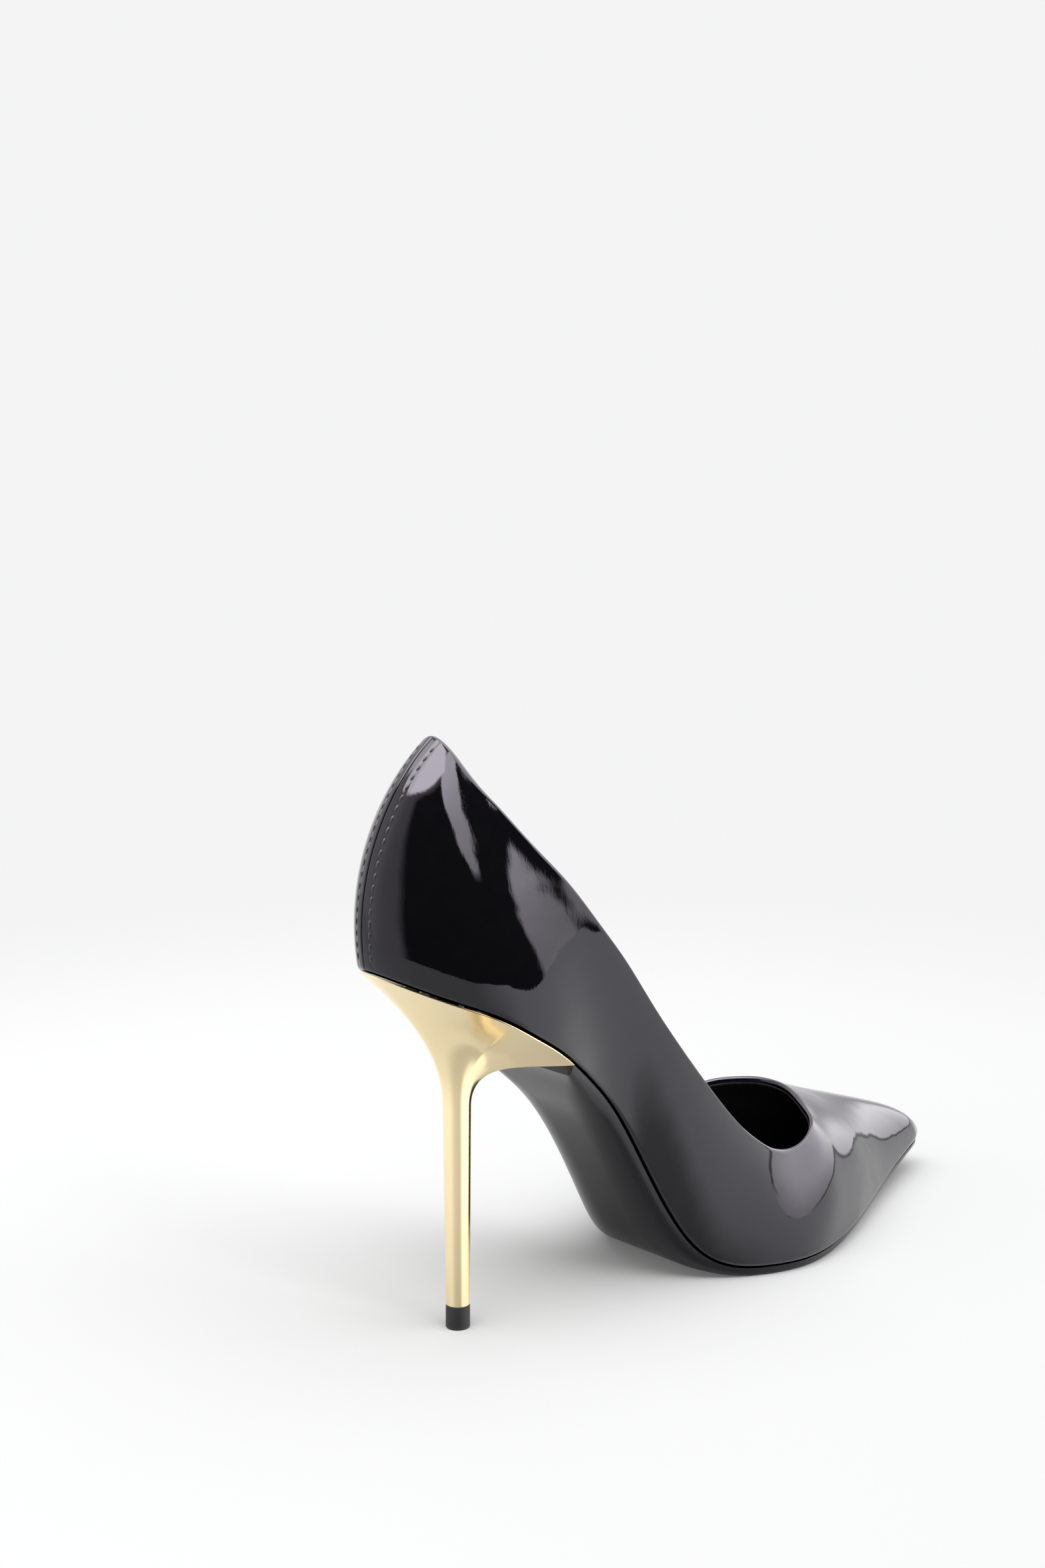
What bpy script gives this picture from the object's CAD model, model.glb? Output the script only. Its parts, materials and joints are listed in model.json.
# Half-d'Orsay stiletto pump, right shoe: toe towards +X, outer side at -Y, inner side at +Y,
# heel stem on the Z axis, floor at z = 0. The shoe is worked in millimetres and scaled to
# metres in add_part; the studio is in metres. The feather line is the lower edge of the upper.
import json
import math
import bmesh
import bpy
import numpy as np
from mathutils import Matrix, Vector


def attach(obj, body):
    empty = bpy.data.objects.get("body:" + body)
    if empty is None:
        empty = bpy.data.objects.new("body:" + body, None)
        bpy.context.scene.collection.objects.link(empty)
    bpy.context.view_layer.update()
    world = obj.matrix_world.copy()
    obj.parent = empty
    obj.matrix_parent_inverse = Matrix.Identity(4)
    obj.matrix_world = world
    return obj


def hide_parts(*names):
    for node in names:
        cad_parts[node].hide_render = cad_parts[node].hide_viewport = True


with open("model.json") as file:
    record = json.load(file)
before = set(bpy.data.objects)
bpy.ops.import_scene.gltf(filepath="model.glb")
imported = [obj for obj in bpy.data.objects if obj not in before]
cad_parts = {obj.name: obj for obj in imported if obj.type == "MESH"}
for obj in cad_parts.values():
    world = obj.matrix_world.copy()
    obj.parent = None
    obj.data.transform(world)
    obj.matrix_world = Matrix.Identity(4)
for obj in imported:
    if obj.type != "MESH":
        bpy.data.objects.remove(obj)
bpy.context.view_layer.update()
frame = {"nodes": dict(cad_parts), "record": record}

scene = bpy.context.scene
MM = 0.001
rng = np.random.RandomState(7)


# ---------- curves ----------
class Spline:
    """Natural or periodic cubic spline through knots, with scalar or vector values"""

    def __init__(self, knots, values, periodic=False):
        x = np.asarray(knots, float)
        y = np.asarray(values, float)
        if y.ndim == 1:
            y = y[:, None]
        step = np.diff(x)
        size = len(x)-1 if periodic else len(x)
        matrix = np.zeros((size, size))
        rhs = np.zeros((size, y.shape[1]))
        if not periodic:
            matrix[0, 0] = matrix[-1, -1] = 1
        for i in range(0 if periodic else 1, len(x)-1):
            before, after = (i-1) % size, (i+1) % size
            matrix[i, before] += step[i-1]
            matrix[i, i] += 2*(step[i-1]+step[i])
            matrix[i, after] += step[i]
            rhs[i] = 6*((y[i+1]-y[i])/step[i]-(y[i]-y[before])/step[i-1])
        bend = np.linalg.solve(matrix, rhs)
        self.bend = np.vstack([bend, bend[:1]]) if periodic else bend
        self.x, self.y, self.step, self.periodic = x, y, step, periodic

    def __call__(self, at):
        at = np.asarray(at, float)
        shape = at.shape
        at = at.ravel()
        if self.periodic:
            at = self.x[0]+np.mod(at-self.x[0], self.x[-1]-self.x[0])
        i = np.clip(np.searchsorted(self.x, at, side='right')-1, 0, len(self.step)-1)
        h = self.step[i][:, None]
        a = (self.x[i+1]-at)[:, None]/h
        b = 1-a
        r = (a*self.y[i]+b*self.y[i+1]
             + ((a**3-a)*self.bend[i]+(b**3-b)*self.bend[i+1])*h*h/6)
        return r.reshape(shape) if self.y.shape[1] == 1 else r.reshape(shape+(-1,))


def smooth_step(x, start, end):
    """Quintic step from 0 to 1"""
    t = np.clip((np.asarray(x, float)-start)/(end-start), 0, 1)
    return t*t*t*(t*(6*t-15)+10)


def chord(points):
    """Distance along a polyline at each of its points"""
    return np.r_[0, np.cumsum(np.sqrt((np.diff(points, axis=0)**2).sum(1)))]


def closed_curve(points):
    """Periodic spline through points, and samples of it as rows of (parameter, point)"""
    points = np.array(points, float)
    curve = Spline(chord(points), points, True)
    s = np.linspace(0, curve.x[-1], 6001)
    return curve, np.c_[s, curve(s)]


def bezier(p0, p1, p2, p3, t):
    t = t[:, None]
    u = 1-t
    return u**3*p0+3*u*u*t*p1+3*u*t*t*p2+t**3*p3


# ---------- measured lines ----------
# Plan outline of the feather line, (x, distance from the X axis), heel to toe
HEEL_SIDE = [
    (-29.5, 0), (-28.8, 3.1), (-27, 6), (-23.8, 9.8), (-19, 14), (-12.8, 18.2), (-4, 22.5),
    (5, 25), (12, 25.3), (18.9, 24.1)]
OUTER_SIDE = HEEL_SIDE+[
    (30, 21), (42.5, 19), (56.6, 19.9), (70.8, 24.6), (83, 30.6), (92, 34.2), (100, 35.6),
    (109, 35), (120, 32.2), (131, 28.2), (141.6, 23.6), (155.8, 17.2), (169.9, 11.3),
    (180.5, 7.2), (187.5, 4.6), (191.8, 2.6)]
INNER_SIDE = HEEL_SIDE+[
    (30, 20.7), (42.5, 17.4), (56.6, 17.4), (70.8, 22.6), (83, 30.2), (92, 35), (100, 37.8),
    (109, 38.4), (120, 36.6), (131, 33.6), (141.6, 29.8), (155.8, 23.8), (169.9, 17.6),
    (180.5, 12.7), (187.5, 9.6), (191.8, 7.5)]
TOE_TIP = [(193.6, -0.2), (194.0, 2.6), (193.6, 5.3)]  # (x, y)
outline, outline_samples = closed_curve(
    [(x, -y) for x, y in OUTER_SIDE]+TOE_TIP+INNER_SIDE[::-1])

# Height of the feather line over the floor, (x, z)
FEATHER = [
    (-29.5, 100.6), (-23.5, 97.5), (-17, 94.3), (-10.5, 91.4), (-3, 87.8), (6, 82.2),
    (12, 78.4), (19.4, 73.2), (29.3, 65.3), (38.8, 55.8), (45.3, 46.6), (56.6, 26.8),
    (66.1, 12), (75.5, 4.7), (86.8, 2.9), (99.1, 2.8), (113.3, 3.2), (132.2, 4.4),
    (155.8, 6.3), (179.4, 8.9), (194, 10.5)]
feather_z = Spline(*zip(*FEATHER))

# Topline, (x, y, z), from the back round the outer side, the throat and the inner side
TOPLINE = [
    # outer side
    (-7, 0, 157.6), (-6.2, -4.3, 155.4), (-4, -8.7, 149.9), (-1.3, -12.1, 144.7),
    (1.8, -14.9, 140.3), (5.1, -17.3, 135.7), (10.6, -20.4, 128.7), (17, -22.9, 121.4),
    (26.4, -25.3, 109.3), (34.2, -26.5, 99.3), (41.7, -27.1, 88.8), (48.8, -27.6, 79),
    (56.2, -28, 69.6), (63.8, -28.1, 60.6), (72.2, -28.1, 51.2), (80.3, -28, 43.4),
    (87, -27.8, 38.4), (94.3, -27.3, 34.4), (101.5, -27, 33), (108.5, -25.8, 34),
    (115.6, -21.9, 36.2), (123.6, -12.1, 37.4), (130.2, -1.4, 38.1),
    # inner vamp
    (133.4, 8.6, 38.4), (132.3, 14, 38.5), (129, 18.5, 38.3), (122, 24.8, 37.2),
    (115, 28.6, 34.3), (107, 30.9, 30.2), (98, 31.3, 26.6), (88, 29.9, 25), (79, 27.3, 24.8),
    (70.7, 24, 25.6), (62, 20.3, 27.3), (55, 17.9, 31),
    # across the open waist
    (48, 19, 44), (38, 22.8, 70),
    # inner quarter
    (28.5, 25.4, 96), (23.1, 24.7, 108.1), (19.6, 23.8, 115.6), (16.4, 22.8, 122.2),
    (13.2, 21.6, 128.2), (10.1, 20.2, 133.7), (6.7, 18.3, 139.3), (2.7, 15.6, 144.8),
    (-1.3, 12.1, 149.4), (-4, 8.9, 152.9), (-6.2, 4.3, 156.4), (-7, 0, 157.6)]
topline, topline_samples = closed_curve(TOPLINE)

# ---------- guide planes ----------
# Stations 0..190 run from the back to the toe on the outer side, 190..380 return on the inner
# side. The upright planes turn round a heel pivot, travel along X, then turn round a toe pivot.
TOE, LOOP = 190.0, 380
HEEL_PIVOT, TOE_PIVOT = 8.0, 118.0
VAMP_END, QUARTER_END = 290, 320  # edges of the open waist on the inner side

steps = np.linspace(0, TOE, 3801)
heel_part, toe_part = 1-smooth_step(steps, 30, 50), smooth_step(steps, 140, 160)


def running_share(rate):
    """Running integral of a rate over the steps, from 0 to 1"""
    total = np.r_[0, np.cumsum((rate[1:]+rate[:-1])/2*np.diff(steps))]
    return total/total[-1]


pivot_x = HEEL_PIVOT+(TOE_PIVOT-HEEL_PIVOT)*running_share(1-heel_part-toe_part)
plane_angle = 180+90*running_share(heel_part)+90*running_share(toe_part)


def guide_plane(station):
    """Origin x, y and direction x, y of a guide plane"""
    side = -1 if station > TOE else 1
    s = LOOP-station if station > TOE else station
    x = np.interp(s, steps, pivot_x)
    angle = math.radians(np.interp(s, steps, plane_angle))
    return x, 2.5*smooth_step(x, 60, 118), math.cos(angle), side*math.sin(angle)


def cut(samples, guide):
    """Furthest crossing of a guide plane and a closed curve: distance, curve parameter"""
    x0, y0, dx, dy = guide
    x, y = samples[:, 1]-x0, samples[:, 2]-y0
    off = dx*y-dy*x
    along = dx*x+dy*y
    k = np.where((off[:-1]*off[1:] <= 0) & (along[:-1] > 0))[0]
    k = k[np.argmax(along[k])]
    w = off[k]/(off[k]-off[k+1]) if off[k] != off[k+1] else 0
    return along[k]+(along[k+1]-along[k])*w, samples[k, 0]+(samples[k+1, 0]-samples[k, 0])*w


# Wall shape: station, lean (degrees) and handle length (share of the span) at the feather
# line, then lean and handle length at the topline
WALL_KEYS = [
    (0, 11, .33, 52, .375), (20, 11, .30, 30, .35), (40, 9, .28, 14, .33), (62, 9, .28, 6, .33),
    (89, 20, .30, 3, .33), (104, 15, .33, 7, .31), (117, 8, .36, 14, .30),
    (133, 4, .42, 28, .30), (147, 3, .42, 50, .33), (160, 2, .38, 65, .42),
    (175, 1, .27, 71, .52), (190, -2, .14, 72.5, .62), (205, 1, .27, 70, .52),
    (220, 3, .38, 63, .42), (233, 4, .44, 50, .34), (247, 5, .45, 36, .32),
    (263, 8, .40, 18, .31), (278, 13, .34, 5, .32), (293, 12, .33, 2, .33),
    (306, 10, .30, 3, .33), (320, 8, .28, 6, .33), (340, 9, .28, 14, .33),
    (360, 11, .30, 30, .35), (380, 11, .33, 52, .375)]
wall_keys = Spline([k[0] for k in WALL_KEYS], [k[1:] for k in WALL_KEYS], True)
SECTION_STEPS = np.linspace(0, 1, 161)
sections = {}


def section(station):
    """Wall cut by a guide plane: plane, (reach, z) points, chord distances, inward normals"""
    station = round(float(station) % LOOP, 5)
    if station not in sections:
        guide = guide_plane(station)
        reach, at = cut(outline_samples, guide)
        foot = np.array([reach, feather_z(outline(at)[0])])
        reach, at = cut(topline_samples, guide)
        top = np.array([reach, topline(at)[2]])
        lean1, handle1, lean2, handle2 = wall_keys(station)
        lean1, lean2 = math.radians(lean1), math.radians(lean2)
        span = math.hypot(*(top-foot))
        points = bezier(
            foot, foot+handle1*span*np.array([math.sin(lean1), math.cos(lean1)]),
            top+handle2*span*np.array([math.sin(lean2), -math.cos(lean2)]), top, SECTION_STEPS)
        chords = chord(points)
        tangent = np.gradient(points, chords, axis=0)
        tangent /= np.sqrt((tangent**2).sum(1))[:, None]
        sections[station] = guide, points, chords, np.c_[-tangent[:, 1], tangent[:, 0]]
    return sections[station]


def wall_length(station):
    return section(station)[2][-1]


def squeeze(length):
    """Scale for edge details where the wall is low"""
    return min(1.0, length/22.0)


def on_wall(station, up, depth):
    """Points at chord distances up from the feather line and depths under the outer face"""
    (x0, y0, dx, dy), points, chords, normals = section(station)
    up = np.asarray(up, float)
    reach, z = [np.interp(up, chords, points[:, i])+np.interp(up, chords, normals[:, i])*depth
                for i in (0, 1)]
    return np.c_[x0+reach*dx, y0+reach*dy, z]


def near_feather(station, rows):
    """Points given as (inset from the feather line, height square to it)"""
    (x0, y0, dx, dy), points = section(station)[:2]
    inset, height = np.array(rows, float).T
    x = x0+(points[0, 0]-inset)*dx
    return np.c_[x, y0+(points[0, 0]-inset)*dy, parallel_z(x, height)]


# ---------- lines parallel to the feather line, seen from the side ----------
def parallel_table():
    """Table of z over x, one row for each offset from the feather line"""
    first, last, e = FEATHER[0][0], FEATHER[-1][0], .05
    first_slope = (feather_z(first+e)-feather_z(first))/e
    last_slope = (feather_z(last)-feather_z(last-e))/e
    x = np.linspace(first-6, last+6, 900)
    z = (feather_z(np.clip(x, first, last))
         + first_slope*np.minimum(x-first, 0)+last_slope*np.maximum(x-last, 0))
    slope = np.gradient(z, x)
    normal_x, normal_z = -slope/np.sqrt(1+slope**2), 1/np.sqrt(1+slope**2)
    offsets = np.linspace(-8, 10, 73)
    table = []
    for offset in offsets:
        px, pz = x+offset*normal_x, z+offset*normal_z
        order = np.argsort(px)
        table.append(np.interp(x, px[order], pz[order]))
    return x, offsets, np.array(table)


TABLE_X, TABLE_OFFSETS, TABLE_Z = parallel_table()


def parallel_z(x, offset):
    """Height at x of the line at an offset above the feather line, measured square to it"""
    def place(value, grid):
        a = np.clip((value-grid[0])/(grid[1]-grid[0]), 0, len(grid)-1.001)
        return a.astype(int), a-a.astype(int)
    x, offset = np.broadcast_arrays(np.asarray(x, float), np.asarray(offset, float))
    i, u = place(x, TABLE_X)
    j, v = place(offset, TABLE_OFFSETS)
    return ((TABLE_Z[j, i]*(1-u)+TABLE_Z[j, i+1]*u)*(1-v)
            + (TABLE_Z[j+1, i]*(1-u)+TABLE_Z[j+1, i+1]*u)*v)


# ---------- meshes ----------
def bridge(a, b):
    """Quads between two closed rows of vertex numbers"""
    n = len(a)
    return [(a[j], a[(j+1) % n], b[(j+1) % n], b[j]) for j in range(n)]


def fan(row, centre):
    return [(row[j], row[(j+1) % len(row)], centre) for j in range(len(row))]


def tube(rings):
    """Vertices, side faces and vertex rows of an open-ended skin over equal rings"""
    rings = np.array(rings)
    count, n = rings.shape[:2]
    rows = np.arange(count*n).reshape(count, n).tolist()
    faces = [face for a, b in zip(rows[:-1], rows[1:]) for face in bridge(a, b)]
    return rings.reshape(-1, 3).tolist(), faces, rows


def loft(rings):
    """Closed skin; each end joins point j to point n-1-j of its ring"""
    verts, faces, rows = tube(rings)
    n = len(rows[0])
    for row in (rows[0], rows[-1]):
        faces += [(row[j], row[j+1], row[n-2-j], row[n-1-j]) for j in range(n//2-1)]
    return verts, faces


def join(parts):
    all_verts, all_faces = [], []
    for verts, faces in parts:
        start = len(all_verts)
        all_verts += verts
        all_faces += [tuple(k+start for k in face) for face in faces]
    return all_verts, all_faces


def add_part(name, mesh, material, sharp=38):
    """Add the mesh in place of the CAD piece of the same name; sharp is in degrees"""
    verts, faces = mesh
    me = bpy.data.meshes.new(name)
    me.from_pydata((np.asarray(verts, float)*MM).tolist(), [], faces)
    bm = bmesh.new()
    bm.from_mesh(me)
    bmesh.ops.remove_doubles(bm, verts=bm.verts, dist=4e-4*MM)
    bmesh.ops.dissolve_degenerate(bm, edges=bm.edges, dist=1e-8)
    bmesh.ops.recalc_face_normals(bm, faces=bm.faces)
    bm.to_mesh(me)
    bm.free()
    me.shade_smooth()
    me.set_sharp_from_angle(angle=math.radians(sharp))
    ob = bpy.data.objects.new(name, me)
    scene.collection.objects.link(ob)
    me.materials.append(materials[material])
    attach(ob, "root")
    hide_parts(name)


def layer(name, stations, ring, material):
    add_part(name, loft([ring(s) for s in stations]), material)


# ---------- shader graphs ----------
class Value:
    """A node output; arithmetic on it makes Math nodes"""

    def __init__(self, graph, node, key):
        self.graph, self.node, self.key = graph, node, key

    def sibling(self, key):
        return Value(self.graph, self.node, key)

    def __add__(self, other):
        return self.graph.math('ADD', self, other)

    def __radd__(self, other):
        return self.graph.math('ADD', other, self)

    def __sub__(self, other):
        return self.graph.math('SUBTRACT', self, other)

    def __rsub__(self, other):
        return self.graph.math('SUBTRACT', other, self)

    def __mul__(self, other):
        return self.graph.math('MULTIPLY', self, other)


class Graph:
    """Empty node tree of a material or world, with node helpers"""

    def __init__(self, owner):
        owner.use_nodes = True
        self.tree = owner.node_tree
        self.tree.nodes.clear()

    def add(self, kind, inputs=None, output=0, **settings):
        node = self.tree.nodes.new(kind)
        for key, value in settings.items():
            setattr(node, key, value)
        for key, value in (inputs or {}).items():
            socket = node.inputs[key]
            if isinstance(value, Value):
                self.tree.links.new(value.node.outputs[value.key], socket)
            else:
                socket.default_value = (*value, 1) if socket.type == 'RGBA' else value
        return Value(self, node, output)

    def math(self, operation, *values, **settings):
        inputs = dict(enumerate(values))
        return self.add("ShaderNodeMath", inputs, operation=operation, **settings)

    def split(self, vector):
        x = self.add("ShaderNodeSeparateXYZ", {0: vector})
        return [x.sibling(i) for i in range(3)]

    def ramp(self, value, over, to, kind='LINEAR'):
        """Map the range over to the range to, clamped"""
        return self.add("ShaderNodeMapRange", dict(enumerate((value, *over, *to))),
                        clamp=True, interpolation_type=kind)

    def ease(self, value, over, to):
        return self.ramp(value, over, to, 'SMOOTHSTEP')

    def mix_shader(self, factor, a, b):
        return self.add("ShaderNodeMixShader", {0: factor, 1: a, 2: b})


class Surface(Graph):
    """Principled material textured in object space, in metres"""

    def __init__(self, name):
        self.material = bpy.data.materials.new(name)
        super().__init__(self.material)
        self.coords = self.add("ShaderNodeTexCoord", output="Object")

    def noise(self, scale, detail=3, rough=.5, distort=0.0, stretch=None):
        vector = self.coords
        if stretch:
            vector = self.add("ShaderNodeMapping", {"Vector": vector, "Scale": stretch})
        return self.add("ShaderNodeTexNoise", {
            "Vector": vector, "Scale": scale, "Detail": detail, "Roughness": rough,
            "Distortion": distort})

    def cells(self, scale):
        return self.add("ShaderNodeTexVoronoi", {"Vector": self.coords, "Scale": scale})

    def mix(self, factor, a, b):
        return self.add("ShaderNodeMix", {0: factor, 6: a, 7: b}, 2, data_type='RGBA')

    def finish(self, colour, rough, bumps, **more):
        """bumps are (height 0..1, distance in metres); more names Principled inputs"""
        inputs = {"Base Color": colour, "Roughness": rough}
        inputs.update((key.replace("_", " "), value) for key, value in more.items())
        for height, distance in bumps:
            bump = {"Height": height, "Distance": distance, "Strength": 1.0}
            if "Normal" in inputs:
                bump["Normal"] = inputs["Normal"]
            inputs["Normal"] = self.add("ShaderNodeBump", bump)
        shader = self.add("ShaderNodeBsdfPrincipled", inputs)
        self.add("ShaderNodeOutputMaterial", {0: shader})


# ---------- materials ----------
def patent_leather(g):
    wave = g.noise(scale=55, detail=2, rough=.45)
    fine = g.noise(scale=900, rough=.6)
    hair = g.noise(scale=620, detail=4, rough=.65, distort=.6, stretch=(1, 1, .22))
    specks = g.noise(scale=2600, detail=2)
    g.finish(colour=g.mix(g.noise(scale=300), (.0008, .0008, .0011), (.0018, .0017, .0022)),
             rough=g.ramp(specks, over=(.3, .8), to=(.012, .045)),
             bumps=[(wave, .00030), (hair, .0000085), (fine, .0000016)],
             IOR=1.53, Specular_Tint=(.94, .91, 1.0))


def lining_leather(g):
    grain = g.noise(scale=700, detail=4)
    tone = g.noise(scale=60, detail=4)
    g.finish(colour=g.mix(tone, (.0060, .0060, .0075), (.011, .0108, .0125)),
             rough=g.ramp(grain, over=(.3, .7), to=(.38, .55)),
             bumps=[(g.noise(scale=90), .00010), (g.cells(1500), .00004), (grain, .00002)],
             IOR=1.45)


def grip_suede(g):
    pile = g.noise(scale=2600, detail=4, rough=.7)
    brushed = g.noise(scale=900, detail=4, stretch=(1, 1, .3))
    g.finish(colour=g.mix(brushed, (.006, .006, .007), (.020, .020, .022)), rough=.95,
             bumps=[(pile, .00012), (brushed, .00006)], IOR=1.35, Sheen_Weight=.25)


def insock_leather(g):
    grain = g.noise(scale=1500, detail=4, rough=.6)
    # A few of the cells carry a bright dot
    spark = g.cells(1900)
    pick = g.add("ShaderNodeSeparateColor", {0: spark.sibling("Color")})
    dot = (g.ramp(pick, over=(.90, .97), to=(0, 1))
           * g.ramp(spark.sibling("Distance"), over=(.18, .34), to=(1, 0)))
    ground = g.mix(g.noise(scale=900), (.0070, .0075, .0115), (.0150, .0160, .0230))
    g.finish(colour=g.mix(dot, ground, (.16, .18, .24)),
             rough=g.ramp(grain, over=(.3, .7), to=(.36, .55)),
             bumps=[(g.cells(2300), .00007), (grain, .00004),
                    (g.noise(scale=120, detail=2), .00008)],
             IOR=1.45)


def outsole_leather(g):
    grain = g.noise(scale=420, detail=4, rough=.6)
    scratches = g.noise(scale=500, rough=.6, stretch=(.12, 1, 1))
    g.finish(colour=g.mix(g.noise(scale=45), (.0040, .0039, .0045), (.0055, .0052, .0060)),
             rough=g.ramp(grain, over=(.2, .8), to=(.22, .26)),
             bumps=[(g.noise(scale=40, detail=1), .00006), (scratches, .0000015),
                    (grain, .0000008)],
             IOR=1.39, Specular_Tint=(.94, .92, 1.0))


def gold_heel(g):
    lines = g.noise(scale=900, stretch=(1, 1, .06))
    wave = g.noise(scale=60, detail=2)
    g.finish(colour=g.mix(wave, (.880, .730, .440), (.905, .765, .480)),
             rough=g.ramp(lines, over=(.3, .7), to=(.10, .16)),
             bumps=[(wave, .00006), (lines, .0000012)], Metallic=1.0)


def top_piece(g):
    grain = g.noise(scale=1800, detail=4, rough=.6)
    wear = g.ramp(g.split(g.coords)[2], over=(.0, .0012), to=(1, 0))  # paler at the floor
    g.finish(colour=g.mix(wear*g.noise(scale=900), (.008, .008, .0085), (.05, .05, .05)),
             rough=g.ramp(grain, over=(.3, .7), to=(.42, .6)),
             bumps=[(grain, .00003)], IOR=1.48)


def thread(g):
    fibre = g.noise(scale=3200, rough=.6)
    g.finish(colour=g.mix(fibre, (.010, .010, .011), (.026, .026, .028)), rough=.42,
             bumps=[(fibre, .00005)], IOR=1.5, Sheen_Weight=.15)


def plain(g, colour, rough, scale=600, depth=.00004, metallic=0.0):
    grain = g.noise(scale=scale, detail=4)
    dark, light = tuple(c*.8 for c in colour), tuple(min(c*1.15, 1) for c in colour)
    g.finish(colour=g.mix(grain, dark, light),
             rough=g.ramp(grain, over=(.3, .7), to=(rough-.05, rough+.05)),
             bumps=[(grain, depth)], Metallic=metallic)


PLAIN = {
    "steel": dict(colour=(.55, .55, .56), rough=.3, scale=900, depth=.00001, metallic=1.0),
    "fibre_board": dict(colour=(.30, .20, .12), rough=.8),
    "stiffener": dict(colour=(.42, .37, .28), rough=.7),
    "interlining_cloth": dict(colour=(.5, .48, .43), rough=.9, scale=1500, depth=.0001),
    "foam": dict(colour=(.6, .57, .45), rough=.95, scale=1800, depth=.0002),
    "cork_filler": dict(colour=(.36, .21, .11), rough=.9, scale=700, depth=.0002)}
materials = {}
for paint in (patent_leather, lining_leather, grip_suede, insock_leather, outsole_leather,
              gold_heel, top_piece, thread):
    surface = Surface(paint.__name__)
    paint(surface)
    materials[paint.__name__] = surface.material
for name, values in PLAIN.items():
    surface = Surface(name)
    plain(surface, **values)
    materials[name] = surface.material

# CAD pieces that stay take the material of their first record
for name, ob in frame["nodes"].items():
    slots = [r["material_slot"] for r in frame["record"]["subparts"] if r["node"] == name]
    if slots and slots[0] in materials:
        for slot in ob.material_slots:
            slot.material = materials[slots[0]]

# ---------- upper ----------
LEATHER = 0.9  # thickness
ROLL = 0.95    # radius of the topline roll
EDGE_R = 0.8   # rounding at the edge of the open waist
SEAM_STITCH = 2.6  # stitch row to back seam


def pucker(points):
    """Extra depth beside the back seam: rounded butt edge and a furrow under the stitches"""
    y = np.abs(points[:, 1])
    butt = .6
    edge = np.where(y < butt, butt-np.sqrt(np.clip(butt*butt-(butt-y)**2, 0, None)), 0)
    furrow = .13*np.exp(-((y-SEAM_STITCH)/.42)**2)+.05*np.exp(-((y-1.2)/.5)**2)
    return np.where(points[:, 0] < 4, 1.0, 0.0)*(edge+furrow)


def upper_ring(station, end):
    """Ring from the bottom margin up the outer face, over the roll and down the inside"""
    length = wall_length(station)
    k = squeeze(length)
    rounding = EDGE_R-min(abs(station-end), EDGE_R)
    rounding = EDGE_R-math.sqrt(max(EDGE_R**2-rounding**2, 0))
    high = length-ROLL
    below_top = np.array([7.8, 6.6, 5.4, 4.2, 3.2, 2.3, 1.6])
    up = np.r_[1.5*k, 2.2*k, np.linspace(3.2*k, length-9*k, 34), length-below_top*k]
    up = np.r_[np.minimum(up, high), high]
    depth = pucker(on_wall(station, up, 0))+rounding
    face = on_wall(station, up, depth)
    turn = np.linspace(0, math.pi, 11)[1:-1]
    roll = on_wall(station, high+ROLL*np.sin(turn),
                   ROLL-ROLL*np.cos(turn)+depth[-1]*(1-turn/math.pi))
    fold, fold_top = 7.5*k, length-1.2*k-.1
    folded = on_wall(
        station, np.r_[high-fold*np.array([0, .3, .7, 1, 1, .5]), fold_top],
        np.array([1.9, 1.9, 1.88, 1.7, 1.25, 1.25, 1.25]))
    inner = on_wall(station, np.r_[fold_top, up[::-1]], LEATHER)
    margin = near_feather(station, [(9, .05), (6, .05), (3.4, .05), (1.9, .05)])
    knee = on_wall(station, [0.0], 0)[0]+np.array([0, 0, .02])
    t = np.linspace(0, 1, 8)[1:-1, None]
    corner = (1-t)**2*margin[-1]+2*t*(1-t)*knee+t*t*face[0]
    margin_top = near_feather(
        station, [(2.4, LEATHER+.02), (3.6, LEATHER), (6, LEATHER), (9, LEATHER)])
    return np.vstack([margin, corner, face, roll, folded, inner, margin_top])


# Stations closing in on the back seam, and half the gap left in it
SEAM = np.array([
    0, .06, .12, .2, .3, .42, .56, .72, .9, 1.1, 1.35, 1.6, 1.9, 2.2, 2.5, 2.8, 3.1, 3.4, 3.7,
    4.0, 4.4, 4.8, 5.3, 6, 6.8])
GAP = .0015
vamp_stations = np.r_[
    SEAM+GAP, np.arange(7.6, 150, 1.2), np.arange(150, 232, .8), np.arange(232, 288.2, 1.2),
    VAMP_END-np.array([1.0, .8, .6, .42, .28, .16, .07, 0])]
quarter_stations = np.r_[
    QUARTER_END+np.array([0, .07, .16, .28, .42, .6, .8, 1.0]), np.arange(322, 373, 1.2),
    LOOP-SEAM[::-1]-GAP]
layer("vamp_upper", vamp_stations, lambda s: upper_ring(s, VAMP_END), "patent_leather")
layer("medial_quarter", quarter_stations, lambda s: upper_ring(s, QUARTER_END),
      "patent_leather")


# ---------- stiffeners and tapes between upper and lining ----------
def strip(station, depths, start, end, n, soft=0.0):
    """Flat ring between two depths and two chord distances; soft rounds its inner edges"""
    up = np.linspace(start, end, n)
    outer, inner = depths
    if soft:
        k = np.clip(np.minimum(up-start, end-up)/soft, 0, 1)
        inner = outer+.04+(inner-outer-.04)*np.sqrt(np.clip(1-(1-k)**2, 0, 1))
    return np.vstack([on_wall(station, up, outer), on_wall(station, up, inner)[::-1]])


def stiffener_ring(station):
    length = wall_length(station)
    return strip(station, (1.28, 1.82), min(3.2, .5*length), max(length-9.0, .62*length), 20)


def seam_tape_ring(station):
    return strip(station, TAPE, 3.2, wall_length(station)-9.2, 20)


def topline_tape_ring(station):
    length = wall_length(station)
    k = squeeze(length)
    return strip(station, TAPE, length-6.4*k, length-1.7*k, 6)


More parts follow.
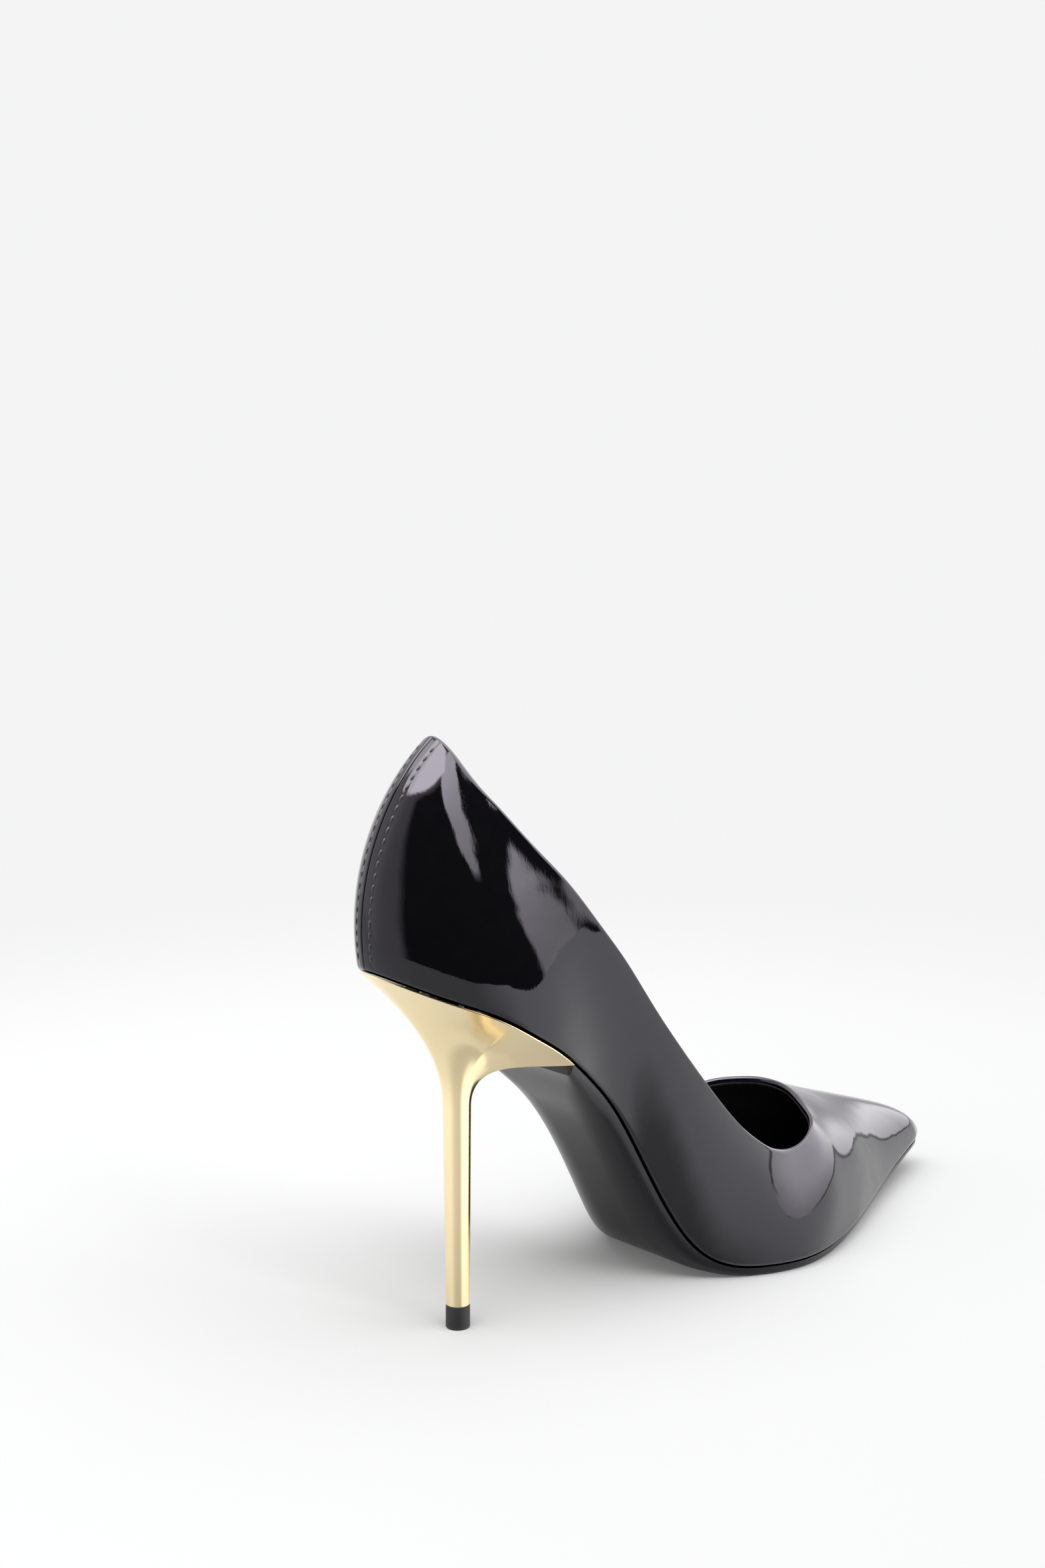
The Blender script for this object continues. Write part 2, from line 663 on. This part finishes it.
TAPE = (.98, 1.16)  # depths of its two faces
layer("toe_puff", np.arange(158, 222.1, 1.6), stiffener_ring, "stiffener")
layer("vamp_interlining", np.arange(74, 150.1, 2), stiffener_ring, "interlining_cloth")
layer("medial_vamp_interlining", np.arange(230, 282.1, 2), stiffener_ring, "interlining_cloth")
layer("heel_counter", np.arange(322, 442.1, 1.5), stiffener_ring, "stiffener")
layer("back_seam_tape", np.linspace(375.5, 384.5, 13), seam_tape_ring, "interlining_cloth")
layer("topline_tape",
      np.r_[np.arange(321.5, 379.9, 1.5), 379.99, np.arange(380.5, 666, 1.5)],
      topline_tape_ring, "interlining_cloth")

# ---------- lining ----------
VAMP_LINING_END, QUARTER_LINING_END = 34, 413.8  # ends on the outer side
TOP_STITCH = 4.2  # stitch row below the topline


def lining_ring(station, end):
    """Lining with a stitch furrow near its top, thinned towards one end"""
    length = wall_length(station)
    k = squeeze(length)
    top = length-.55
    below_top = np.array([7.6, 6.4, 5.6, 5.1, 4.8, 4.6, 4.4, 4.2, 4.0, 3.8, 3.6, 3.3, 2.8,
                          2.0, 1.3, .95, .75, .62])
    up = np.r_[np.linspace(3*k, length-9*k, 26), length-below_top*k]
    up = np.r_[np.minimum(up, top-.01), top]
    below = length-up
    depth = (2.5-.13*np.exp(-((below-TOP_STITCH*k)/.32)**2)
             - .42*np.clip(1-(below-.55)/.42, 0, 1)**2.2
             + .10*np.exp(-((below-2.2*k)/.9)**2))
    depth = np.maximum(depth-max(0, 1-abs(station-end)/.5)*.45, 2.0)
    return np.vstack([on_wall(station, up, 1.95), on_wall(station, up, depth)[::-1]])


layer("vamp_lining",
      np.r_[VAMP_LINING_END+np.array([0, .1, .25, .5]), np.arange(35.5, 287.4, 1.3), 288.6],
      lambda s: lining_ring(s, VAMP_LINING_END), "lining_leather")
layer("quarter_lining",
      np.r_[321.6, np.arange(322.4, 412.8, 1.3),
            QUARTER_LINING_END-np.array([.5, .25, .1, 0])],
      lambda s: lining_ring(s, QUARTER_LINING_END), "lining_leather")


def grip_ring(station):
    """Oval suede pad inside the back"""
    inward = (22-abs(station-LOOP))/22.0
    k = math.sqrt(max(1-(1-inward)**2.4, 0.004))
    low, high = 7.0, wall_length(station)-9.5
    middle, half = (low+high)/2, (high-low)/2*k
    depths = 2.53, 2.57+.5*min(1, k*1.6)
    return strip(station, depths, middle-half, middle+half, 26, soft=1.3)


GRIP_ENDS = np.array([18.5, 20, 21, 21.6, 21.9])
layer("heel_grip", LOOP+np.r_[-GRIP_ENDS[::-1], np.arange(-17, 17.1, 1), GRIP_ENDS],
      grip_ring, "grip_suede")

# ---------- leather band round the insole edge in the open waist ----------
# (inset, height) from the feather line: outer face going up, then inner face coming down
WRAP = [
    (2.35, .10), (1.4, .08), (.7, .08), (.3, .25), (.05, .7), (-.10, 1.5), (-.18, 2.5),
    (-.12, 3.5), (.02, 4.3), (.25, 4.85), (.6, 5.12), (1.1, 5.2), (1.7, 5.18), (2.35, 5.1),
    (2.35, 4.3), (1.7, 4.3), (1.2, 4.25), (.95, 4.0), (.8, 3.5), (.74, 2.8), (.72, 2.4),
    (.74, 2.0), (.8, 1.5), (.95, 1.2), (1.2, 1.02), (1.5, .98), (1.9, .98), (2.35, .98)]
layer("waist_wrap", np.linspace(VAMP_END+.02, QUARTER_END-.02, 35),
      lambda s: near_feather(s, WRAP), "patent_leather")

# ---------- stitches ----------
PITCH = 2.95


def stitch(centre, along, out, length, radius):
    """One stitch lying on a surface, its ends dipping in"""
    along = along/np.linalg.norm(along)
    out = out-along*np.dot(out, along)
    out /= np.linalg.norm(out)
    side = np.cross(along, out)
    rings = []
    for u in (-1+2*i/8 for i in range(9)):
        r = radius*math.sqrt(max(1-abs(u)**3, .02))
        c = centre+along*u*length/2-out*(.30*u*u)
        rings.append([c+(out*math.cos(a)*.85+side*math.sin(a))*r*(1+.10*math.sin(a*2+u*7))
                      for a in (2*math.pi*j/8 for j in range(8))])
    verts, faces, rows = tube(rings)
    return verts, faces+[tuple(rows[0]), tuple(rows[-1])]


def stitch_row(points, normals, length, radius, skip):
    """Stitches along a line, leaving skip free at each end"""
    chords = chord(points)

    def at(rows, s):
        return np.array([np.interp(s, chords, rows[:, i]) for i in range(3)])
    return [stitch(at(points, s), at(points, s+.5)-at(points, s-.5), at(normals, s),
                   length*(1+.05*rng.randn()), radius)
            for s in np.arange(skip, chords[-1]-skip, PITCH)]


def seam_line(side):
    """Points and outward normals of the stitch line beside the back seam"""
    points, normals = [], []
    tries = np.linspace(.5, 9, 60)
    for up in np.linspace(2.6, wall_length(0)-2.4, 90):
        def at(station, height=up, depth=0):
            return on_wall(side*station, [height], depth)[0]
        s = np.interp(SEAM_STITCH, [abs(at(v)[1]) for v in tries], tries)
        points.append(at(s, depth=.06))
        normal = np.cross(at(s+.2)-at(s-.2), at(s, up+.2)-at(s, up-.2))
        normal *= -np.sign(np.dot(normal, at(s, depth=1)-at(s)))
        normals.append(normal/np.linalg.norm(normal))
    return np.array(points), np.array(normals)


def topline_line(stations):
    """Points and normals of the stitch line on the lining below the topline"""
    points, normals = [], []
    for s in stations:
        length = wall_length(s)
        up = [length-TOP_STITCH*squeeze(length)]
        points.append(on_wall(s, up, 2.42)[0])
        normals.append(on_wall(s, up, 3.4)[0]-points[-1])
    return np.array(points), np.array(normals)


stitches = []
for side in (1, -1):
    stitches += stitch_row(*seam_line(side), length=2.35, radius=.31, skip=1.2)
add_part("back_seam_stitches", join(stitches), "thread", sharp=60)
line = topline_line(np.r_[np.arange(324, 380, .8), np.arange(380, 380+284, .8)])
add_part("topline_stitches", join(stitch_row(*line, length=2.2, radius=.24, skip=1.0)),
         "thread", sharp=60)


# ---------- insock ----------
def span_points(a, b, v):
    """x, y at shares v of the way from a to b in plan; the width; distance to nearer end"""
    width = math.hypot(b[0]-a[0], b[1]-a[1])
    return a[0]+(b[0]-a[0])*v, a[1]+(b[1]-a[1])*v, width, np.minimum(v, 1-v)*width


def sock_edge(station):
    length = wall_length(station)
    if 289.0 < station < 320.8:  # eased from the wall to the waist band
        w = min(1, (station-289.0)/1.1, (320.8-station)/.9)
        band = near_feather(station, [(2.5, 5)])[0]
        return band*w+on_wall(station, [min(6.5, .9*length)], 2.95)[0]*(1-w)
    wall = on_wall(station, [min(6.6, .55*length)], 2.8)[0]
    foot = near_feather(station, [(2.95, 5)])[0]
    return min(foot, wall, key=lambda p: math.hypot(p[0]-60, p[1]))


def sock_ring(station):
    """Ring from the outer edge to the inner edge on top, and back underneath"""
    far = LOOP-station
    v = (1-np.cos(np.linspace(0, math.pi, 44)))/2
    x, y, width, edge = span_points(sock_edge(station), sock_edge(far), v)
    from_inner = (1-v)*width
    rim = 1-np.clip(edge/4.0, 0, 1)
    waist = (VAMP_END < far < QUARTER_END)*np.clip(1-from_inner/5, 0, 1)
    lift = (.75*rim**2.2*(1-waist)-.35*np.clip(rim-.6, 0, 1)*waist
            - .25*np.sin(math.pi*v)*min(1, width/20))
    rounding = -.42*np.clip(1-edge/.5, 0, 1)**2
    # The inner edge reaches down beside both ends of the open waist
    skirt = np.interp(far, [258, 266, 293, 297, 315, 318, 328, 336], [0, 1, 1, 0, 0, 1, 1, 0])
    skirt = skirt*np.clip((1.6-from_inner)/.3, 0, 1)
    base = np.interp(x, [-30, 21, 38, 70, 79, 127, 142, 200],
                     [6.35, 6.35, 4.3, 4.3, 4.85, 4.85, 2.9, 2.9])
    top = parallel_z(x, base+.8+lift+rounding)
    bottom = parallel_z(x, base*(1-skirt)+2.7*skirt+.02+lift*.6*(1-skirt))
    return np.vstack([np.c_[x, y, top], np.c_[x, y, bottom][::-1]])


layer("insock", np.r_[.02, .5, 1, 1.6, 2.4, np.arange(3.4, 180, 1.25), 181, 182, 183],
      sock_ring, "insock_leather")

# ---------- outsole ----------
SOLE_TOP, SOLE_BOTTOM = -.45, -3.05  # from the feather line
SOLE_START = 51.9  # station of its heel end


def sole_ring(station):
    a, b = [near_feather(s, [(1.15, 0)])[0] for s in (station, LOOP-station)]
    even = np.linspace(0, 1, 61)
    v = (.5-.5*np.cos(math.pi*even))*.8+.2*even
    x, y, width, edge = span_points(a, b, v)
    middle = (a[0]+b[0])/2
    # Thicker and crowned under the waist, thinner at the toe
    waist = float(smooth_step(middle, 16, 34)*(1-smooth_step(middle, 58, 84)))
    thick = SOLE_TOP-SOLE_BOTTOM+2.3*waist-.35*float(smooth_step(middle, 165, 190))
    bevel = min(1.7+9.5*waist, width*.5)
    k = np.clip(edge/max(bevel, .05), 0, 1)
    drop = .30+(thick-.30)*(1-(1-k)**2.1)**(1/2.1)
    bottom = np.maximum(parallel_z(x, SOLE_TOP-drop), 0.0)
    return np.vstack([np.c_[x, y, parallel_z(x, SOLE_TOP)], np.c_[x, y, bottom][::-1]])


sole_stations = np.r_[
    SOLE_START+np.array([0, .15, .5]), np.arange(SOLE_START+1.2, 186, 1.1),
    186.6, 187.4, 188.1, 188.7, 189.2, 189.6, 189.85]
add_part("outsole", loft([sole_ring(s) for s in sole_stations]), "outsole_leather", sharp=50)

# ---------- heel ----------
STEM_TOP, STEM_TOP_R, STEM_LOW_R = 60.0, 3.75, 3.22
STEM_LOW = 6.4
BREAST = 19.5  # x of the flat front face


def seat_z(x):
    return float(parallel_z(x, SOLE_TOP))


def seat_ring():
    """Angles and radii of the heel seat: the inset outline, cut flat at the breast"""
    p = outline(np.linspace(0, outline.x[-1], 9601)[:-1])
    tangent = np.roll(p, -1, 0)-np.roll(p, 1, 0)
    tangent /= np.sqrt((tangent**2).sum(1))[:, None]
    p = p+.35*np.c_[-tangent[:, 1], tangent[:, 0]]
    p = p[p[:, 0] < BREAST+3]
    a, r = np.arctan2(p[:, 1], p[:, 0]), np.hypot(p[:, 0], p[:, 1])
    order = np.argsort(a)
    a, r = a[order], r[order]
    a = np.r_[a[-40:]-2*math.pi, a, a[:40]+2*math.pi]
    r = np.r_[r[-40:], r, r[:40]]

    def breast_corner(start, end):
        t = np.linspace(start, end, 4000)
        return t[np.argmin(abs(np.interp(t, a, r)*np.cos(t)-BREAST))]
    outer, inner = breast_corner(-1.3, 0), breast_corner(0, 1.3)
    angles = np.r_[
        np.linspace(-math.pi, outer-.02, 70), outer-.006, np.linspace(outer, inner, 41),
        inner+.006, np.linspace(inner+.02, math.pi, 70)[:-1]]
    flat = (angles > outer) & (angles < inner)
    return angles, np.where(flat, BREAST/np.cos(angles), np.interp(angles, a, r))


def heel_profile(angle, seat_r):
    """(radius, z) points from the seat edge down to the foot of the stem"""
    cos = math.cos(angle)
    back = (1-cos)/2  # 0 at the breast, 1 at the back
    dip = math.radians(float(np.interp(back, [0, .12, .3, .5, 1], [3, 4, 14, 30, 42])))
    handle = float(np.interp(back, [0, .3, 1], [.42, .40, .36]))*seat_r
    z = seat_z(seat_r*cos)
    start = np.array([seat_r, z-.32])
    curve = bezier(
        start, start+handle*np.array([-math.cos(dip), -math.sin(dip)]),
        np.array([STEM_TOP_R+.1, STEM_TOP+float(np.interp(back, [0, 1], [12.2, 17]))]),
        np.array([STEM_TOP_R, STEM_TOP]), np.linspace(0, 1, 90)**1.15)
    rim = [[seat_r-.22, seat_z((seat_r-.22)*cos)], [seat_r-.05, z-.05], [seat_r, z-.16]]
    stem = np.c_[np.linspace(STEM_TOP_R, STEM_LOW_R, 26),
                 np.linspace(STEM_TOP, STEM_LOW+.06, 26)][1:]
    return np.vstack([rim, curve, stem, [[STEM_LOW_R-.08, STEM_LOW]]])


def heel_mesh():
    grid = []
    for angle, seat_r in zip(*seat_ring()):
        q = heel_profile(angle, seat_r)
        grid.append(np.c_[q[:, 0]*math.cos(angle), q[:, 0]*math.sin(angle), q[:, 1]])
    grid = np.array(grid)
    n, m = grid.shape[:2]
    verts = grid.reshape(-1, 3).tolist()
    faces = []
    for i in range(n):
        a, b = i*m, (i+1) % n*m
        faces += [(a+k, b+k, b+k+1, a+k+1) for k in range(m-1)]
    # The seat closes in rings that follow the sole
    row = [i*m for i in range(n)]
    for w in (.85, .6, .35, .15):
        inner = list(range(len(verts), len(verts)+n))
        for x, y in grid[:, 0, :2]*w:
            verts.append([x, y, seat_z(x)])
        faces += bridge(row, inner)
        row = inner
    faces += fan(row, len(verts))
    verts.append([0, 0, seat_z(0)])
    faces += fan([i*m+m-1 for i in range(n)], len(verts))
    verts.append([0, 0, STEM_LOW])
    return verts, faces


def turned(profile, n=72):
    """Solid of revolution round Z from (radius, z) points"""
    turns = [2*math.pi*j/n for j in range(n)]
    verts, faces, rows = tube(
        [[(r*math.cos(a), r*math.sin(a), z) for a in turns] for r, z in profile])
    for i in (0, -1):
        faces += fan(rows[i], len(verts))
        verts.append([0, 0, profile[i][1]])
    return verts, faces


add_part("heel_body", heel_mesh(), "gold_heel", sharp=32)
TIP = [(2.6, 0), (2.95, 0), (3.10, .05), (3.19, .16), (3.22, .35), (3.22, 3.2), (3.21, 5.9),
       (3.17, 6.18), (3.06, 6.28), (2.7, 6.3)]
add_part("heel_tip", turned(TIP), "top_piece")

# ---------- camera (metres from here on) ----------
CAMERA = Vector((-0.3371, -0.4009, 0.2244))
forward = Vector((0.6604, 0.7355, -0.1511)).normalized()
right = Vector((0.7441, -0.6681, 0)).normalized()
cam = bpy.data.objects.new("camera", bpy.data.cameras.new("camera"))
scene.collection.objects.link(cam)
scene.camera = cam
axes = Matrix((right, right.cross(forward), -forward)).transposed().to_4x4()
cam.matrix_world = Matrix.Translation(CAMERA) @ axes
cam.data.sensor_width = 36
cam.data.lens = 48.08
cam.data.clip_start = .01

# ---------- floor ----------
BACKDROP = (.905, .905, .912)
FLOOR = (.282, .291, .279)
FLOOR_GLOW = (.095, .095, .0955)
DEGREES = 57.29578  # in one radian
near = Vector((CAMERA.x, CAMERA.y, 0)).normalized()  # from the shoe towards the camera
across = Vector((-near.y, near.x, 0))                # towards the picture's right


def azimuth(x, y):
    """Degrees round from the camera's side, counted towards the picture's right"""
    ahead = x*near.x+y*near.y
    aside = x*-near.y+y*near.x
    return x.graph.math('ARCTAN2', aside, ahead)*DEGREES


def floor_material():
    """Painted floor that fades to the backdrop; reflections see it vary with azimuth"""
    material = bpy.data.materials.new("floor_paint")
    g = Graph(material)
    position = g.add("ShaderNodeNewGeometry", output="Position")
    x, y, _ = g.split(position)
    to_x, to_y, _ = g.split(position.sibling("Incoming"))
    x = x-.06  # centre of the painted disc
    radius = g.math('SQRT', x*x+y*y)
    az = azimuth(to_x*-1.0, to_y*-1.0)
    level = (g.ease(az, over=(20, 52), to=(0, 1))*1.15
             + g.ease(az, over=(-60, -10), to=(1.10, .78))
             - g.ease(az, over=(112, 135), to=(0, .7)))
    level = g.add("ShaderNodeLightPath", output="Is Glossy Ray")*(level-1.0)+1.0
    colour, backdrop = [
        g.add("ShaderNodeVectorMath", {0: tint, "Scale": level}, operation='SCALE')
        for tint in (FLOOR, BACKDROP)]
    paint = g.add("ShaderNodeBsdfDiffuse", {"Color": colour, "Roughness": 1.0})
    glow = g.add("ShaderNodeEmission", {"Color": FLOOR_GLOW, "Strength": 1.0})
    fade = g.ease(radius, over=(.20, .55), to=(0, 1))
    shader = g.mix_shader(
        fade, g.add("ShaderNodeAddShader", {0: paint, 1: glow}),
        g.add("ShaderNodeEmission", {"Color": backdrop, "Strength": 1.0}))
    g.add("ShaderNodeOutputMaterial", {0: shader})
    return material


def rim_material():
    material = bpy.data.materials.new("rim")
    material.use_nodes = True
    inputs = material.node_tree.nodes["Principled BSDF"].inputs
    inputs["Base Color"].default_value = (.004, .004, .004, 1)
    inputs["Specular IOR Level"].default_value = 0
    return material


def card(name, corners, material):
    me = bpy.data.meshes.new(name)
    me.from_pydata([tuple(p) for p in corners], [], [(0, 1, 2, 3)])
    ob = bpy.data.objects.new(name, me)
    me.materials.append(material)
    scene.collection.objects.link(ob)
    return ob


NEAR_EDGE, FAR_EDGE, HALF_WIDTH = .285, 6, 3
edge = near*NEAR_EDGE
wide = across*HALF_WIDTH
below = Vector((0, 0, -.00002))
card("floor", [p+below for p in (edge+wide, edge-wide, -near*FAR_EDGE-wide,
                                 -near*FAR_EDGE+wide)], floor_material())
# Dark upright strip just in front of the floor's near edge
rim_start = across*.12
rim_drop = Vector((0, 0, .012))
rim = card("table_rim", [p+near*.0002 for p in (
    edge+rim_start, edge+wide, edge+wide-rim_drop, edge+rim_start-rim_drop)], rim_material())
rim.visible_camera = False


# ---------- room light: strength by azimuth and elevation, in degrees ----------
def rise(value, start, end):
    return value.graph.ease(value, over=(start, end), to=(0, 1))


def fall(value, start, end):
    return value.graph.ease(value, over=(start, end), to=(1, 0))


def band(value, start, end, soft):
    return rise(value, start-soft, start+soft)*fall(value, end-soft, end+soft)


def cover(base, mask, value):
    return base*(1.0-mask)+mask*value


def room_level(g):
    x, y, z = g.split(g.add("ShaderNodeTexCoord", output="Generated"))
    az = azimuth(x, y)
    el = g.math('ARCSINE', z)*DEGREES
    level = g.ease(az, over=(-60, -22), to=(1.35, .85))
    # bright wall to the right, with a dim line near the horizon
    wall = 2.3+g.ease(el, over=(-2, 20), to=(0, 2.5))
    wall = wall*(1.0-band(el, -.6, 1.1, soft=.5)*g.ease(az, over=(78, 92), to=(0, .75)))
    level = cover(level, rise(az, 56, 66)*fall(az, 138, 158), wall)
    level = cover(level, rise(az, 142, 160), 1.3)
    # dark zone round the camera, wider near the floor
    dark_edge = 63.0+g.math('MAXIMUM', 12-el, 0.0)*.62
    dark = rise(az, -24, -12)*fall(az-dark_edge, -1.3, 1.3)*fall(el, 46, 49)
    level = cover(level, dark, .05)
    # upright strip box that widens upwards
    height = g.math('MAXIMUM', el-17, 0.0)
    box = rise(az-(46.5-height*.56), -1.2, 1.2)*fall(az-(50.5+height*.25), -1.0, 1.0)
    level = cover(level, box*band(el, 16, 60, soft=1.5),
                  g.ramp(el, over=(16, 46), to=(3.0, 7.0)))
    # softbox overhead
    level = cover(level, band(az, -112, 36, soft=3)*rise(el, 49, 51.5),
                  g.ramp(az, over=(-100, -30), to=(5.5, 10.5)))
    # high light on the right and behind
    sides = g.math('ADD', band(az, 62, 181, soft=8), band(az, -181, -150, soft=8),
                   use_clamp=True)
    return cover(level, sides*rise(el, 40, 55), 5.5)


scene.world = bpy.data.worlds.new("room")
g = Graph(scene.world)
room = g.add("ShaderNodeBackground", {"Color": (.985, .955, 1.0), "Strength": room_level(g)})
plain_view = g.add("ShaderNodeBackground", {"Color": BACKDROP, "Strength": 1.0})
camera_ray = g.add("ShaderNodeLightPath", output="Is Camera Ray")
g.add("ShaderNodeOutputWorld", {0: g.mix_shader(camera_ray, room, plain_view)})
scene.view_settings.view_transform = 'Standard'
